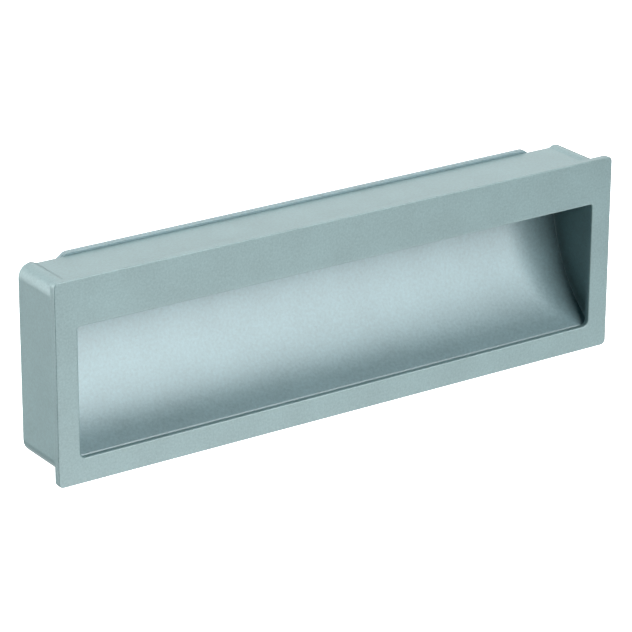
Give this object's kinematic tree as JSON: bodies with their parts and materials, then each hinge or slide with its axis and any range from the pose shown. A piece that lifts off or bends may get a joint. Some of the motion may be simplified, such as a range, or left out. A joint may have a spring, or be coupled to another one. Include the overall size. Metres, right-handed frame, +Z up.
{
  "type": "recessed pull handle",
  "caption": "Rectangular recessed pull handle: flanged front frame with a wide top rail over a curved finger scoop, let into a cut-out in a drawer or sliding door.",
  "frame": {"origin": "centre of the flange's seating plane, which lies on the face of the panel", "axes": "+X along the handle to the right as seen from the front, +Y back into the panel, +Z up"},
  "size_m": [0.19, 0.0231, 0.0598],
  "materials": {
    "frame_silver": "satin silver metallic paint with a cool grey-green tint over moulded plastic",
    "scoop_silver": "satin silver metallic paint with a fine sparkle grain over moulded plastic"
  },
  "bodies": {
    "root": {"front_frame": "frame_silver", "finger_scoop": "scoop_silver"}
  },
  "joints": []
}
